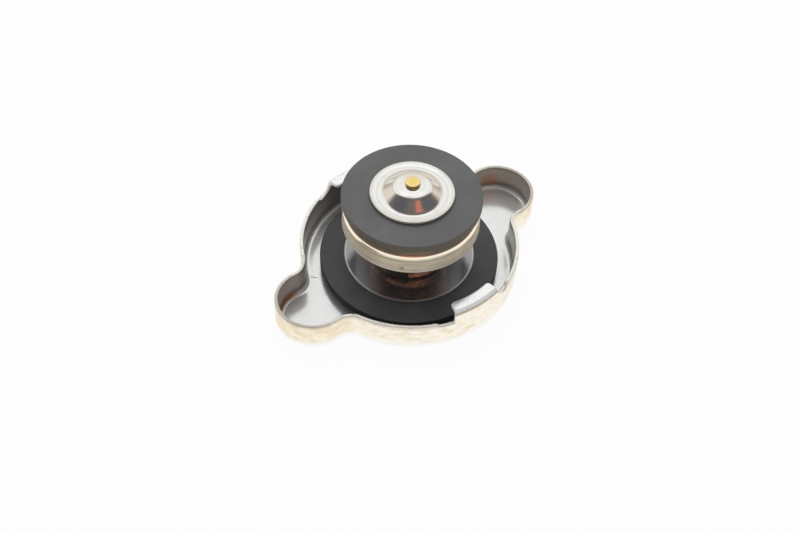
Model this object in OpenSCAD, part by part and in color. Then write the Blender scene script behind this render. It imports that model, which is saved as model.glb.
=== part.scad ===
// Radiator cap, lying on its outer face with the pressure valve up.
// The origin is on the cap's axis, on the flat outer face. The ears lie along X and the lugs close to Y.

/* [Shell] */
// Outer radius of the round skirt
shell_radius = 25.7; // [24:0.1:28]
// Thickness of the pressed sheet
shell_sheet = 0.9; // [0.7:0.05:1.1]
// Height of the rim above the outer face, round the ears
skirt_height = 8; // [7:0.1:9]
// How much higher the rim stands between a lug's run-out and the next ear
skirt_rise = 0.9; // [0.4:0.1:1.2]
// How much higher it stands between an ear and a lug's square end
square_rise = 0.2; // [0:0.05:0.6]
// How much lower it lies in the notch at that square end
notch_drop = 0.4; // [0:0.05:0.8]
// Length of the step where the rim rises beside a lug
rim_step = 1.2; // [0.8:0.1:2]
// Rounding of the rim's cut edges
rim_rounding = 0.2; // [0.1:0.05:0.3]
// Distance from the axis to the tip of an ear
ear_reach = 36.6; // [34:0.1:39]
// Outer radius of an ear
ear_radius = 8.7; // [7.5:0.1:10]
// Radius of the hollow blend between an ear and the skirt
ear_blend = 4; // [2.5:0.1:6]
// Inner radius of the fold between the floor and the skirt
floor_fold = 1; // [0.6:0.1:1.5]
// Radius of the round recess in the outer face
recess_radius = 9; // [7:0.1:11]
// Depth of that recess, which stands up as a boss inside
recess_depth = 0.9; // [0.8:0.05:1.2]

/* [Lugs] */
// Bearing of a lug's middle from the line through the ears
lug_bearing = 88.2; // [85:0.1:92]
// Angle that a locking lug covers
lug_angle = 27.5; // [20:0.5:35]
// Height of a lug's top face above the outer face
lug_top = 11.2; // [10.8:0.1:13]
// Radius of a lug's inner edge
lug_inner_radius = 22.5; // [22:0.1:23.2]
// Inner radius of a lug's fold
lug_fold = 0.2; // [0.1:0.05:0.6]
// Radius of the rounded inner corners of a lug
lug_corner = 0.9; // [0.5:0.1:1.2]
// Radius of the hollow run-out beside a lug
lug_ramp = 3.6; // [2:0.1:4.5]
// Length of the notch in the rim at a lug's square end
lug_notch = 3.2; // [2:0.1:6]

/* [Gasket stack] */
// Thickness of the spring disc under the gasket
disc_sheet = 0.4; // [0.3:0.05:0.6]
// Radius of the spring disc
disc_radius = 19.5; // [17:0.1:20.5]
// Radius of the main gasket
gasket_radius = 21.1; // [20.6:0.1:22]
// Thickness of the main gasket
gasket_thickness = 1.8; // [1.4:0.1:2.4]
// Radius of the clamp plate
plate_radius = 15.4; // [13:0.1:17]
// Thickness of the clamp plate
plate_sheet = 0.7; // [0.5:0.05:1]
// Radius of the rivet's shank
rivet_radius = 2.5; // [2:0.1:3]
// Radius of the rivet's outer head
rivet_head_radius = 4.6; // [4:0.1:5.5]

/* [Guide] */
// Outer radius of the guide post
post_radius = 5.2; // [5:0.05:5.5]
// Height of the guide post above the clamp plate
post_height = 8.7; // [8:0.1:9.5]
// Sheet thickness of the post and the sleeve
guide_sheet = 0.6; // [0.5:0.05:0.7]
// Width of the hook where the post's flare catches the sleeve
guide_hook = 1.1; // [0.9:0.05:1.2]

/* [Pressure valve] */
// Distance from the gasket's face to the valve seal's face
valve_reach = 20; // [19:0.1:22]
// Radius of the valve seal
seal_radius = 16; // [15:0.1:17]
// Thickness of the valve seal
seal_thickness = 1.9; // [1.6:0.1:2.4]
// Outer radius of the valve cup at its open rim
cup_radius = 15.85; // [14.9:0.05:16.9]
// Draft of the cup's wall, from the rim to the shoulder
cup_draft = 0.15; // [0.1:0.05:0.4]
// Depth of the valve cup
cup_depth = 6.9; // [6.2:0.1:7.4]
// Sheet thickness of the valve cup
cup_sheet = 0.7; // [0.5:0.05:0.9]
// Outer radius of the cup's rounded shoulder
cup_shoulder = 2.6; // [1.8:0.1:2.8]
// Wire diameter of the pressure spring
spring_wire = 1.6; // [1.4:0.05:1.8]
// Outer radius of the pressure spring
spring_radius = 9.1; // [8.9:0.1:9.6]
// Open turns of the pressure spring, between its closed end turns
spring_turns = 3.4; // [3:0.1:4]

/* [Vacuum valve] */
// Radius of the vacuum disc's flange
flange_radius = 9.55; // [9:0.05:10]
// Sheet thickness of the vacuum disc
dome_sheet = 0.5; // [0.4:0.05:0.6]
// Radius of the dome at its foot
dome_foot = 6.9; // [6.6:0.1:7.2]
// Radius of the dome's top
dome_top = 4.3; // [3.9:0.05:4.5]
// Height of that top's edge above the seal
dome_height = 2.65; // [2.4:0.05:3]
// Crown of the dome's top, from its edge to the pin
dome_crown = 0.5; // [0.2:0.05:0.6]
// Lift of the flange's outer edge above the seal
flange_lift = 0.35; // [0.2:0.05:0.5]
// Radius of the eyelet's tube
eyelet_radius = 3.5; // [3.3:0.05:3.7]
// Radius of the pin's head
pin_head_radius = 1.8; // [1.6:0.1:2.2]
// Height of the pin's head
pin_head_height = 0.75; // [0.5:0.05:0.9]
// Radius of the pin's shank
pin_radius = 1.1; // [0.9:0.05:1.3]
// Wire diameter of the vacuum spring
vacuum_wire = 0.5; // [0.4:0.05:0.6]
// Length of the vacuum spring
vacuum_length = 5.2; // [4.6:0.1:6]
// Turns of the vacuum spring
vacuum_turns = 5; // [4:0.5:6]

/* [Hidden] */
$fn = 96;

// Clearances between pieces that turn, slide or pass through each other
swivel_gap = 0.1;
slide_gap = 0.08;
hole_gap = 0.05;
// How far a cutting shape runs past the face that it cuts
over = 1;

// Heights of the stack, from the outer face up
boss_z = shell_sheet + recess_depth;
disc_z = boss_z + swivel_gap;
gasket_z = disc_z + disc_sheet;
plate_z = gasket_z + gasket_thickness;
seat_z = plate_z + plate_sheet;
seal_face_z = plate_z + valve_reach;
cup_z = seal_face_z - seal_thickness;
cup_under_z = cup_z - cup_sheet;

// Plan of the shell: an ear's arc, a hollow blend, the skirt's arc and another blend make one half
ear_x = ear_reach - ear_radius;
blend_to_skirt = shell_radius + ear_blend;
blend_to_ear = ear_radius + ear_blend;
blend_x = (blend_to_skirt ^ 2 + ear_x ^ 2 - blend_to_ear ^ 2) / (2 * ear_x);
blend_y = sqrt(blend_to_skirt ^ 2 - blend_x ^ 2);
ear_half = atan2(blend_y, blend_x - ear_x);
skirt_start = atan2(blend_y, blend_x);

// Section of the shell's sheet
outer_fold = floor_fold + shell_sheet;
raised_rim = skirt_height + skirt_rise;
square_rim = skirt_height + square_rise;
notch_rim = skirt_height - notch_drop;

// Lug on the +Y side, whose square end comes first and whose run-out comes last
lug_start = lug_bearing - lug_angle / 2;
lug_end = lug_bearing + lug_angle / 2;
degrees_per_mm = 180 / (PI * shell_radius);
ramp_end = lug_end + lug_ramp * degrees_per_mm;
step_angle = rim_step * degrees_per_mm;
notch_start = lug_start - lug_notch * degrees_per_mm;
corner_angle = lug_corner / lug_inner_radius * 180 / PI;
lug_under_z = lug_top - shell_sheet;
lug_bend_z = lug_under_z - lug_fold;

// Guide post and sleeve
post_bore = post_radius - guide_sheet;
flare_radius = post_radius + guide_hook;
flare_z = seat_z + post_height - guide_sheet;
sleeve_bore = flare_radius + slide_gap;
sleeve_radius = sleeve_bore + guide_sheet;
sleeve_z = cup_under_z - guide_sheet;
rivet_upset_spread = 1.2;
rivet_upset_height = 1;

// Vacuum valve
eyelet_sheet = 0.5;
eyelet_flange_width = 1.7;
eyelet_flare_width = 1;
eyelet_flare_z = sleeve_z - eyelet_sheet;
dome_hole = pin_radius + hole_gap;
dome_z = seal_face_z + dome_height + dome_crown;
washer_sheet = 0.4;
washer_gap = 0.4;
washer_radius = post_bore - washer_gap;
washer_lip = 0.3;
washer_z = eyelet_flare_z - vacuum_length - washer_sheet;
pin_tail_height = 0.6;
pin_tail_width = 0.6;
pin_head_edge = 0.2;
plate_edge = 0.3;
wire_tip_bearing = -130;

// Closed end turns of a coil lie this many wires apart
closed_turn_pitch = 1.04;

// Faces in the shell's folds, its arcs and its lugs, and in the coils
fold_steps = 3;
ear_steps = 26;
blend_steps = 7;
skirt_step = 4;
rim_step_steps = 4;
corner_steps = 4;
lug_steps = 7;
ramp_steps = 6;
crown_steps = 4;
coil_sides = 10;
coil_steps = 30;
light_coil_sides = 8;
light_coil_steps = 24;

// Shapes that repeat

// Round slab on z = 0, with its lower edge rounded
module rounded_drum(radius, height, edge) {
    rotate_extrude() union() {
        square([radius - edge, height]);
        translate([0, edge]) square([radius, height - edge]);
        translate([radius - edge, edge]) intersection() {
            circle(edge);
            translate([0, -edge]) square(edge);
        }
    }
}

// Flat ring with a plain hole
module ring(outer, inner, height) {
    difference() {
        cylinder(r = outer, h = height);
        translate([0, 0, -over]) cylinder(r = inner, h = height + 2 * over);
    }
}

// Height of a spring's wire after some turns: closed end turns with open turns between them
function coil_rise(turn, open_turns, closed_pitch, open_pitch) =
    closed_pitch * min(turn, 1)
    + open_pitch * max(0, min(turn - 1, open_turns))
    + closed_pitch * max(0, turn - 1 - open_turns);

// Coil of round wire that stands on z = 0, with one closed turn at each end
module coil(outer, wire, length, open_turns, sides, steps) {
    closed_pitch = wire * closed_turn_pitch;
    open_pitch = (length - wire - 2 * closed_pitch) / open_turns;
    mean = outer - wire / 2;
    turns = open_turns + 2;
    last = ceil(turns * steps);
    points = [for (i = [0 : last]) let (turn = turns * i / last, angle = 360 * turn,
            z = wire / 2 + coil_rise(turn, open_turns, closed_pitch, open_pitch))
        for (k = [0 : sides - 1]) let (r = mean + wire / 2 * cos(360 * k / sides))
            [r * cos(angle), r * sin(angle), z + wire / 2 * sin(360 * k / sides)]];
    walls = [for (i = [0 : last - 1], k = [0 : sides - 1]) let (a = i * sides, n = (k + 1) % sides)
        [a + k, a + n, a + sides + n, a + sides + k]];
    first_end = [for (k = [sides - 1 : -1 : 0]) k];
    last_end = [for (k = [0 : sides - 1]) last * sides + k];
    polyhedron(points, concat(walls, [first_end, last_end]));
}

// Cap shell

// Stations round the shell's plan, as [arc centre, radius, side, bearing, rim height, tongue radius, lug].
// Side is 1 on a round arc and -1 on a hollow one. A lug's station holds the radius that its tongue reaches.
// The rim eases from one height to another along an arc.
function arc_stations(centre, radius, side, from, to, steps, first_rim, last_rim) =
    [for (i = [0 : steps - 1]) let (eased = (1 - cos(180 * i / steps)) / 2)
        [centre, radius, side, from + (to - from) * i / steps,
            first_rim + (last_rim - first_rim) * eased, 0, false]];

function ear_stations() =
    arc_stations([ear_x, 0], ear_radius, 1, -ear_half, ear_half, ear_steps, skirt_height, skirt_height);

function skirt_stations(from, to, rim) =
    arc_stations([0, 0], shell_radius, 1, from, to, ceil((to - from) / skirt_step), rim, rim);

function step_stations(from, first_rim, last_rim) =
    arc_stations([0, 0], shell_radius, 1, from, from + step_angle, rim_step_steps, first_rim, last_rim);

function lug_station(bearing, tongue) = [[0, 0], shell_radius, 1, bearing, notch_rim, tongue, true];

// The tongue's corners are quarter circles, and its first station is also the skirt's last
function lug_stations() = concat(
    [for (i = [0 : corner_steps]) let (t = 90 * i / corner_steps)
        lug_station(lug_start + corner_angle * (1 - cos(t)), lug_inner_radius + lug_corner * (1 - sin(t)))],
    [for (i = [1 : lug_steps - 1]) let (straight = lug_angle - 2 * corner_angle)
        lug_station(lug_start + corner_angle + straight * i / lug_steps, lug_inner_radius)],
    [for (i = [corner_steps : -1 : 1]) let (t = 90 * i / corner_steps)
        lug_station(lug_end - corner_angle * (1 - cos(t)), lug_inner_radius + lug_corner * (1 - sin(t)))]);

// The skirt's wall runs out beside a lug on a hollow curve, from the lug's fold down to the rim
function ramp_stations() =
    [for (i = [0 : ramp_steps - 1]) let (t = 90 * i / ramp_steps)
        [[0, 0], shell_radius, 1, lug_end + (ramp_end - lug_end) * (1 - cos(t)),
            skirt_height + (lug_bend_z - rim_rounding - skirt_height) * (1 - sin(t)),
            i == 0 ? lug_inner_radius + lug_corner : 0, false]];

function half_stations() = concat(
    ear_stations(),
    arc_stations([blend_x, blend_y], ear_blend, -1, ear_half - 180, skirt_start - 180, blend_steps,
        skirt_height, square_rim),
    skirt_stations(skirt_start, notch_start - step_angle, square_rim),
    step_stations(notch_start - step_angle, square_rim, notch_rim),
    skirt_stations(notch_start, lug_start, notch_rim),
    lug_stations(),
    ramp_stations(),
    step_stations(ramp_end, skirt_height, raised_rim),
    skirt_stations(ramp_end + step_angle, 180 - skirt_start, raised_rim),
    arc_stations([-blend_x, blend_y], ear_blend, -1, -skirt_start, -ear_half, blend_steps,
        raised_rim, skirt_height));

function turned(station) = concat([-station[0], station[1], station[2], station[3] + 180],
    [for (i = [4 : 6]) station[i]]);

// Point of the sheet's section at a station, drawn in from the outer surface by inset
function sheet_point(s, inset, z) =
    let (r = s[1] - s[2] * inset) [s[0][0] + r * cos(s[3]), s[0][1] + r * sin(s[3]), z];

// The section's stretches: outer wall up from the floor's fold, plain rim, lug, and inner wall down
function outer_wall(s) = concat(
    [for (i = [0 : fold_steps]) let (t = 90 * i / fold_steps)
        sheet_point(s, outer_fold * (1 - sin(t)), outer_fold * (1 - cos(t)))],
    [sheet_point(s, 0, s[4] - rim_rounding)]);

// A flat cut with both edges rounded
function plain_rim(s) = let (chamfer = rim_rounding * (1 - cos(45))) [
    sheet_point(s, chamfer, s[4] - chamfer), sheet_point(s, rim_rounding, s[4]),
    sheet_point(s, shell_sheet - rim_rounding, s[4]), sheet_point(s, shell_sheet - chamfer, s[4] - chamfer)];

function lug_section(s) =
    let (pivot = shell_sheet + lug_fold, large = lug_fold + shell_sheet, reach = shell_radius - s[5])
    concat(
        [for (i = [0 : fold_steps]) let (t = 90 * i / fold_steps)
            sheet_point(s, pivot - large * cos(t), lug_bend_z + large * sin(t))],
        [sheet_point(s, reach, lug_top), sheet_point(s, reach, lug_under_z)],
        [for (i = [fold_steps : -1 : 0]) let (t = 90 * i / fold_steps)
            sheet_point(s, pivot - lug_fold * cos(t), lug_bend_z + lug_fold * sin(t))]);

function inner_wall(s) = concat(
    [sheet_point(s, shell_sheet, s[4] - rim_rounding)],
    [for (i = [fold_steps : -1 : 0]) let (t = 90 * i / fold_steps)
        sheet_point(s, shell_sheet + floor_fold * (1 - sin(t)), shell_sheet + floor_fold * (1 - cos(t)))]);

// Skirt, ears and lugs as one sheet: the section is carried round the plan, and the floor closes it
module pressed_sheet() {
    half = half_stations();
    stations = concat(half, [for (s = half) turned(s)]);
    count = len(stations);
    wall = fold_steps + 2;
    rim = len(plain_rim(half[0]));
    hook = 2 * fold_steps + 4;
    block = 2 * wall + rim + hook;
    function unused_hook(s) = [for (i = [1 : hook]) sheet_point(s, 0, s[4] - rim_rounding)];
    points = [for (s = stations) each concat(
        outer_wall(s), plain_rim(s), s[5] > 0 ? lug_section(s) : unused_hook(s), inner_wall(s))];
    rim_path = concat([for (i = [0 : wall + rim - 1]) i], [for (i = [block - wall : block - 1]) i]);
    lug_path = concat([for (i = [0 : wall - 1]) i], [for (i = [wall + rim : block - 1]) i]);
    strips = [for (i = [0 : count - 1]) let (a = i * block, b = (i + 1) % count * block,
            path = stations[i][6] ? lug_path : rim_path)
        for (k = [0 : len(path) - 2]) each [
            [a + path[k], a + path[k + 1], b + path[k + 1]],
            [a + path[k], b + path[k + 1], b + path[k]]]];
    // A lug's two cut ends fill the gap between its section and the plain rim
    out = wall - 1;
    outer_edge = wall + 1;
    inner_edge = wall + 2;
    far = block - wall;
    lug = wall + rim;
    back = far - 1;
    foot = [[out, wall, lug], [wall, outer_edge, lug], [outer_edge, back, lug],
        [outer_edge, inner_edge, back], [inner_edge, inner_edge + 1, back], [inner_edge + 1, far, back]];
    fold = [for (k = [0 : fold_steps]) each [
        [lug + k + 1, lug + k, back - k], [lug + k + 1, back - k, back - k - 1]]];
    cut = concat(foot, fold);
    ends = [for (i = [0 : count - 1])
        let (before = stations[(i + count - 1) % count][6], here = stations[i][6])
        if (before != here) each [for (t = cut) [for (k = [0 : 2]) i * block + t[here ? k : 2 - k]]]];
    middle = count * block;
    floors = [for (i = [0 : count - 1]) let (a = i * block, b = (i + 1) % count * block) each [
        [middle, a, b], [middle + 1, b + block - 1, a + block - 1]]];
    polyhedron(concat(points, [[0, 0, 0], [0, 0, shell_sheet]]), concat(strips, ends, floors));
}

module cap_shell() {
    boss_radius = recess_radius + shell_sheet;
    color("silver") difference() {
        union() {
            pressed_sheet();
            translate([0, 0, shell_sheet / 2])
                cylinder(r1 = boss_radius + recess_depth / 2, r2 = boss_radius, h = boss_z - shell_sheet / 2);
        }
        translate([0, 0, -over]) cylinder(r = recess_radius, h = recess_depth + over);
        cylinder(r = rivet_radius + swivel_gap / 2, h = boss_z + over);
    }
}

// Gasket stack, turning on the centre rivet

module centre_rivet() {
    head_height = recess_depth - swivel_gap;
    head_edge = head_height / 2;
    color("lightgray") union() {
        rounded_drum(rivet_head_radius, head_height, head_edge);
        cylinder(r = rivet_radius, h = seat_z + guide_sheet + rivet_upset_height / 2);
        translate([0, 0, seat_z + guide_sheet])
            cylinder(r1 = rivet_radius + rivet_upset_spread, r2 = rivet_radius, h = rivet_upset_height);
    }
}

module spring_disc() {
    color("gainsboro") translate([0, 0, disc_z]) ring(disc_radius, rivet_radius + hole_gap, disc_sheet);
}

module main_gasket() {
    color("#3a3a3c") translate([0, 0, gasket_z])
        ring(gasket_radius, rivet_radius + hole_gap, gasket_thickness);
}

module clamp_plate() {
    color("silver") difference() {
        translate([0, 0, seat_z]) mirror([0, 0, 1]) rounded_drum(plate_radius, plate_sheet, plate_edge);
        translate([0, 0, plate_z - over]) cylinder(r = rivet_radius + hole_gap, h = plate_sheet + 2 * over);
    }
}

// Drawn cup with a closed foot and a flared mouth that hooks the sleeve
module guide_post() {
    color("silver") translate([0, 0, seat_z]) difference() {
        union() {
            cylinder(r = post_radius, h = post_height);
            translate([0, 0, post_height - guide_sheet]) cylinder(r = flare_radius, h = guide_sheet);
        }
        translate([0, 0, guide_sheet]) cylinder(r = post_bore, h = post_height);
        translate([0, 0, -over]) cylinder(r = rivet_radius + hole_gap, h = guide_sheet + 2 * over);
    }
}

// Pressure valve

module pressure_spring() {
    color("#8a7768") translate([0, 0, seat_z + hole_gap]) rotate(wire_tip_bearing)
        coil(spring_radius, spring_wire, cup_under_z - seat_z - 2 * hole_gap, spring_turns,
            coil_sides, coil_steps);
}

// Pan with its closed side up, drawn from one sheet, with a rounded shoulder and a drafted wall
module valve_cup() {
    module pan(inset, shoulder) {
        top = cup_radius - cup_draft - inset;
        rotate_extrude() union() {
            square([top - shoulder, cup_depth]);
            translate([top - shoulder, shoulder]) intersection() {
                circle(shoulder);
                translate([0, -shoulder]) square(shoulder);
            }
            polygon([[0, shoulder], [top, shoulder], [cup_radius - inset, cup_depth], [0, cup_depth]]);
        }
    }
    color("silver") difference() {
        translate([0, 0, cup_z]) mirror([0, 0, 1]) difference() {
            pan(0, cup_shoulder);
            translate([0, 0, cup_sheet]) pan(cup_sheet, cup_shoulder - cup_sheet);
        }
        translate([0, 0, cup_under_z - over])
            cylinder(r = eyelet_radius + hole_gap, h = cup_sheet + 2 * over);
    }
}

// Tube under the cup, with an inward lip that catches the post's flare
module guide_sleeve() {
    lip_z = flare_z - slide_gap - guide_sheet;
    color("silver") difference() {
        translate([0, 0, lip_z]) cylinder(r = sleeve_radius, h = cup_under_z - lip_z);
        translate([0, 0, lip_z + guide_sheet]) cylinder(r = sleeve_bore, h = sleeve_z - lip_z - guide_sheet);
        translate([0, 0, lip_z - over]) cylinder(r = post_radius + slide_gap, h = guide_sheet + 2 * over);
        translate([0, 0, sleeve_z - over]) cylinder(r = eyelet_radius + hole_gap, h = guide_sheet + 2 * over);
    }
}

module valve_seal() {
    color("#4a4a4c") translate([0, 0, cup_z]) ring(seal_radius, eyelet_radius + hole_gap, seal_thickness);
}

// Tube with a flange on the seal and a flare under the sleeve
module seal_eyelet() {
    length = seal_face_z + eyelet_sheet - eyelet_flare_z;
    color("lightgray") translate([0, 0, eyelet_flare_z]) difference() {
        union() {
            cylinder(r = eyelet_radius, h = length);
            cylinder(r = eyelet_radius + eyelet_flare_width, h = eyelet_sheet);
            translate([0, 0, length - eyelet_sheet])
                cylinder(r = eyelet_radius + eyelet_flange_width, h = eyelet_sheet);
        }
        translate([0, 0, -over]) cylinder(r = eyelet_radius - eyelet_sheet, h = length + 2 * over);
    }
}

// Vacuum valve

// Domed disc with a crowned top, a flat seat and a lifted outer edge
module vacuum_disc() {
    seat_radius = (dome_foot + flange_radius) / 2;
    slope = [dome_foot - dome_top, dome_height - dome_sheet];
    inset = dome_sheet * norm(slope) / slope[1];
    under_top = dome_top - inset + slope[0] * dome_sheet / slope[1];
    // Points of the crown from the pin's hole out to a radius
    function crown(radius, edge_z) = [for (i = [0 : crown_steps])
        let (r = dome_hole + (radius - dome_hole) * i / crown_steps)
        [r, edge_z + dome_crown * (radius ^ 2 - r ^ 2) / (radius ^ 2 - dome_hole ^ 2)]];
    under = crown(under_top, dome_height - dome_sheet);
    color("whitesmoke") translate([0, 0, seal_face_z]) rotate_extrude() polygon(concat(
        crown(dome_top, dome_height),
        [[dome_foot, dome_sheet], [seat_radius, dome_sheet], [flange_radius, dome_sheet + flange_lift],
        [flange_radius, flange_lift], [seat_radius, 0], [dome_foot - inset, 0]],
        [for (i = [crown_steps : -1 : 0]) under[i]]));
}

module vacuum_pin() {
    tail_z = washer_z - pin_tail_height;
    color("goldenrod") union() {
        translate([0, 0, dome_z + pin_head_height]) mirror([0, 0, 1])
            rounded_drum(pin_head_radius, pin_head_height, pin_head_edge);
        translate([0, 0, tail_z]) cylinder(r = pin_radius, h = dome_z - tail_z + pin_head_height / 2);
        translate([0, 0, tail_z]) cylinder(r = pin_radius + pin_tail_width, h = pin_tail_height);
    }
}

module vacuum_spring() {
    color("lightgray") translate([0, 0, washer_z + washer_sheet + hole_gap])
        coil(washer_radius - washer_lip, vacuum_wire, vacuum_length - 2 * hole_gap, vacuum_turns - 2,
            light_coil_sides, light_coil_steps);
}

module spring_washer() {
    color("lightgray") translate([0, 0, washer_z]) ring(washer_radius, pin_radius + hole_gap, washer_sheet);
}

cap_shell();
centre_rivet();
spring_disc();
main_gasket();
clamp_plate();
guide_post();
pressure_spring();
valve_cup();
guide_sleeve();
valve_seal();
seal_eyelet();
vacuum_disc();
vacuum_pin();
vacuum_spring();
spring_washer();
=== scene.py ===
from math import atan2, cos, pi, radians, sin, sqrt

import bmesh
import bpy
from mathutils import Matrix, Vector


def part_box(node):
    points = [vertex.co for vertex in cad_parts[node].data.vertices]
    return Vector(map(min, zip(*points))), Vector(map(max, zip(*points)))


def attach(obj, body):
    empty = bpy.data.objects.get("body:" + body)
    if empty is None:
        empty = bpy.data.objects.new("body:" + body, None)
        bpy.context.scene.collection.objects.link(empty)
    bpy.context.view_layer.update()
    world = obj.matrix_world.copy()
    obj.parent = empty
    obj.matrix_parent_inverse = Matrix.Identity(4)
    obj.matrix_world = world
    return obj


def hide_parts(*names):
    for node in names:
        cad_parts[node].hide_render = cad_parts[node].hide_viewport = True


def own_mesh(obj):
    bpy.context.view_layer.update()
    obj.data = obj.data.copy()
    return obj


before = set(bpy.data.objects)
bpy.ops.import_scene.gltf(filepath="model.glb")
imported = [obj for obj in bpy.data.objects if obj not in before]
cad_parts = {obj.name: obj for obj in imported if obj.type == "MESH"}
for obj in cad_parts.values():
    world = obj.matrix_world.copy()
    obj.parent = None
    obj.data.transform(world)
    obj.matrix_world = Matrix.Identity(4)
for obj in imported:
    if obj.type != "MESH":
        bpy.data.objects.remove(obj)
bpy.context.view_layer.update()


# Cap shell.
# One blank of tinned steel sheet, pressed into a shallow pan with two ears to grip.
# Two tongues of its skirt stand higher and are folded in, to lock under the filler neck.
mm = 0.001
shell_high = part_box("cap_shell")[1]
shell_sheet = 0.9 * mm
skirt_radius = 25.7 * mm
skirt_height = 8 * mm
skirt_rise = 0.9 * mm
square_rise = 0.2 * mm
notch_drop = 0.4 * mm
rim_step = 1.2 * mm
ear_radius = 8.7 * mm
ear_blend = 4 * mm
floor_fold = 1.9 * mm
floor_strip = 0.5 * mm
recess_radius = 9 * mm
recess_depth = 0.9 * mm
recess_fold = 0.35 * mm
rivet_hole = 2.55 * mm
lug_bearing = radians(88.2)
lug_angle = radians(27.5)
lug_top = shell_high.z
lug_inner_radius = 22.5 * mm
lug_fold = 1.1 * mm
lug_corner = 0.9 * mm
lug_ramp = 3.6 * mm
lug_notch = 3.2 * mm
rim_rounding = 0.34 * mm

ear_x = shell_high.x - ear_radius
blend_to_skirt = skirt_radius + ear_blend
blend_to_ear = ear_radius + ear_blend
blend_x = (blend_to_skirt**2 + ear_x**2 - blend_to_ear**2) / (2 * ear_x)
blend_y = sqrt(blend_to_skirt**2 - blend_x**2)
ear_half = atan2(blend_y, blend_x - ear_x)
skirt_start = atan2(blend_y, blend_x)
lug_start = lug_bearing - lug_angle / 2
lug_end = lug_bearing + lug_angle / 2
ramp_angle = lug_ramp / skirt_radius
ramp_end = lug_end + ramp_angle
step_angle = rim_step / skirt_radius
notch_start = lug_start - lug_notch / skirt_radius
ear_end = atan2(ear_radius * sin(ear_half), ear_x + ear_radius * cos(ear_half))
lug_bend = lug_top - lug_fold

ear_steps = 72
blend_steps = 20
skirt_steps = 28
lug_steps = 10
short_steps = 4
fold_steps = 6
sharp_angle = radians(50)
weld = 0.01 * mm


def bearing(vert):
    """Bearing of a vertex round the cap's axis, where both halves of the cap read alike."""
    return atan2(vert.co.y, vert.co.x) % pi


def quarter_rise(share):
    """Height of a hollow quarter circle, from 1 at the start of its width to 0 at the end."""
    return 1 - sqrt(max(0, 1 - (1 - min(max(share, 0), 1)) ** 2))


def eased(value, start, end):
    """0 before the start and 1 after the end, with a soft rise from one to the other."""
    share = min(max((value - start) / (end - start), 0), 1)
    return (1 - cos(pi * share)) / 2


def chain(mesh, places):
    """A line of edges through some points, as a section that is carried round."""
    verts = [mesh.verts.new(p) for p in places]
    return verts, [mesh.edges.new(pair) for pair in zip(verts, verts[1:])]


def open_edges(mesh, height):
    """The open edges of a surface that lie at a height."""
    return [e for e in mesh.edges if e.is_boundary and all(abs(v.co.z - height) < weld for v in e.verts)]


def drawn_on(mesh, edges):
    """Extrudes edges, and gives the new edges and their vertices."""
    made = bmesh.ops.extrude_edge_only(mesh, edges=edges)["geom"]
    verts = [g for g in made if isinstance(g, bmesh.types.BMVert)]
    fresh = set(verts)
    return [g for g in made if isinstance(g, bmesh.types.BMEdge) and fresh.issuperset(g.verts)], verts


def place_ring(mesh, verts, old_radius, radius, height):
    """Brings vertices on one radius about the axis to another radius, at a height."""
    scale = radius / old_radius
    bmesh.ops.scale(mesh, vec=(scale, scale, 1), verts=verts)
    for vert in verts:
        vert.co.z = height


def piece(name, mesh, sheet=0, rounding=0, cut_material=1):
    """An object at the origin from a finished mesh, whose highest face looks up.
    A surface becomes a sheet of that thickness, with its cut edges rounded and in a material of their own."""
    bmesh.ops.recalc_face_normals(mesh, faces=mesh.faces[:])
    if max(mesh.faces, key=lambda face: face.calc_center_median().z).normal.z < 0:
        bmesh.ops.reverse_faces(mesh, faces=mesh.faces[:])
    data = bpy.data.meshes.new(name)
    mesh.to_mesh(data)
    mesh.free()
    data.shade_smooth()
    data.set_sharp_from_angle(angle=sharp_angle)
    made = bpy.data.objects.new(name, data)
    bpy.context.scene.collection.objects.link(made)
    if sheet:
        wall = made.modifiers.new("sheet", "SOLIDIFY")
        wall.thickness = sheet
        wall.offset = -1
        wall.use_even_offset = True
        wall.material_offset = 1
        wall.material_offset_rim = cut_material
        edge = made.modifiers.new("cut_edges", "BEVEL")
        edge.width = rounding
        edge.segments = 3
        edge.limit_method = "ANGLE"
        edge.angle_limit = sharp_angle
        edge.use_clamp_overlap = False
    made.modifiers.new("flat_faces", "WEIGHTED_NORMAL").keep_sharp = True
    return made


shell_mesh = bmesh.new()
foot = ear_radius - floor_fold
section_radii = [foot - floor_strip, foot, ear_radius, ear_radius]
section_heights = [0, 0, 0, skirt_height]
turn = Matrix.Rotation(-ear_half, 4, "Z")
section, _ = chain(shell_mesh, [
    Vector((ear_x, 0, z)) + turn @ Vector((r, 0, 0)) for r, z in zip(section_radii, section_heights)])
bmesh.ops.bevel(shell_mesh, geom=[section[2]], affect="VERTICES", offset=floor_fold,
                segments=8, profile=0.5, material=-1)
swept = shell_mesh.verts[:] + shell_mesh.edges[:]
ramp_turns = [radians(a) for a in (0, 22, 31, 38, 45, 51, 57, 63, 69, 75, 82, 90)]
arcs = [
    ((ear_x, 0), 2 * ear_half, ear_steps),
    ((blend_x, blend_y), skirt_start - ear_half, blend_steps),
    ((0, 0), notch_start - step_angle - skirt_start, skirt_steps),
    ((0, 0), step_angle, short_steps),
    ((0, 0), lug_start - notch_start, short_steps),
    ((0, 0), lug_angle, lug_steps),
    *[((0, 0), ramp_angle * (cos(a) - cos(b)), 1) for a, b in zip(ramp_turns, ramp_turns[1:])],
    ((0, 0), step_angle, short_steps),
    ((0, 0), pi - skirt_start - ramp_end - step_angle, skirt_steps),
    ((-blend_x, blend_y), skirt_start - ear_half, blend_steps),
]
for side in (1, -1):
    for (x, y), angle, steps in arcs:
        swept = bmesh.ops.spin(shell_mesh, geom=swept, cent=(side * x, side * y, 0), axis=(0, 0, 1),
                               angle=angle, steps=steps)["geom_last"]
bmesh.ops.remove_doubles(shell_mesh, verts=shell_mesh.verts[:], dist=weld)

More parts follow.
